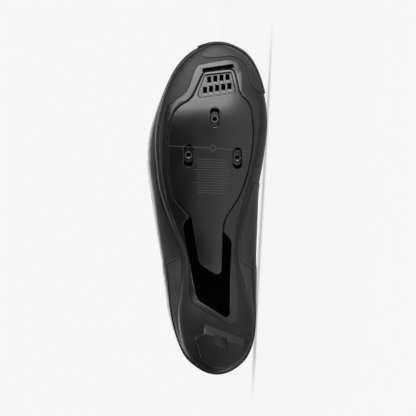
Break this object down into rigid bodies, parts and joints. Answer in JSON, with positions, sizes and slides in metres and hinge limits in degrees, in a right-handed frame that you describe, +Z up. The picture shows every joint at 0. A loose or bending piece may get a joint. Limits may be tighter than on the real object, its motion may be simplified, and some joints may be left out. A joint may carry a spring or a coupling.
{
  "type": "cycling shoe",
  "caption": "Black right road cycling shoe lying on its side, with a glossy moulded sole, cleat slots, vented panel and heel pad.",
  "frame": {"origin": "middle of the bounding box on the surface that the shoe lies on", "axes": "+X towards the toe, -Y out of the sole, +Z up, so that the medial side is below and the lateral side above"},
  "size_m": [0.2808, 0.1004, 0.0986],
  "materials": {
    "moulded_nylon": "semi-gloss moulded black nylon",
    "gloss_panel": "gloss black",
    "soft_rubber": "matt black rubber",
    "upper_skin": "fine-grained black synthetic leather",
    "lining_cloth": "black mesh lining",
    "zinc_steel": "dark zinc-plated steel",
    "strap_webbing": "black coated webbing"
  },
  "bodies": {
    "root": {"outsole": "moulded_nylon", "cleat_panel": "gloss_panel", "vent_grille": "gloss_panel", "cleat_nut_front": "zinc_steel", "cleat_nut_lateral": "zinc_steel", "cleat_nut_medial": "zinc_steel", "heel_pad": "soft_rubber", "toe_bumper": "soft_rubber", "heel_counter": "upper_skin", "upper": "upper_skin", "tongue": "lining_cloth", "insole": "lining_cloth", "strap_front": "strap_webbing", "strap_rear": "strap_webbing"}
  },
  "joints": []
}
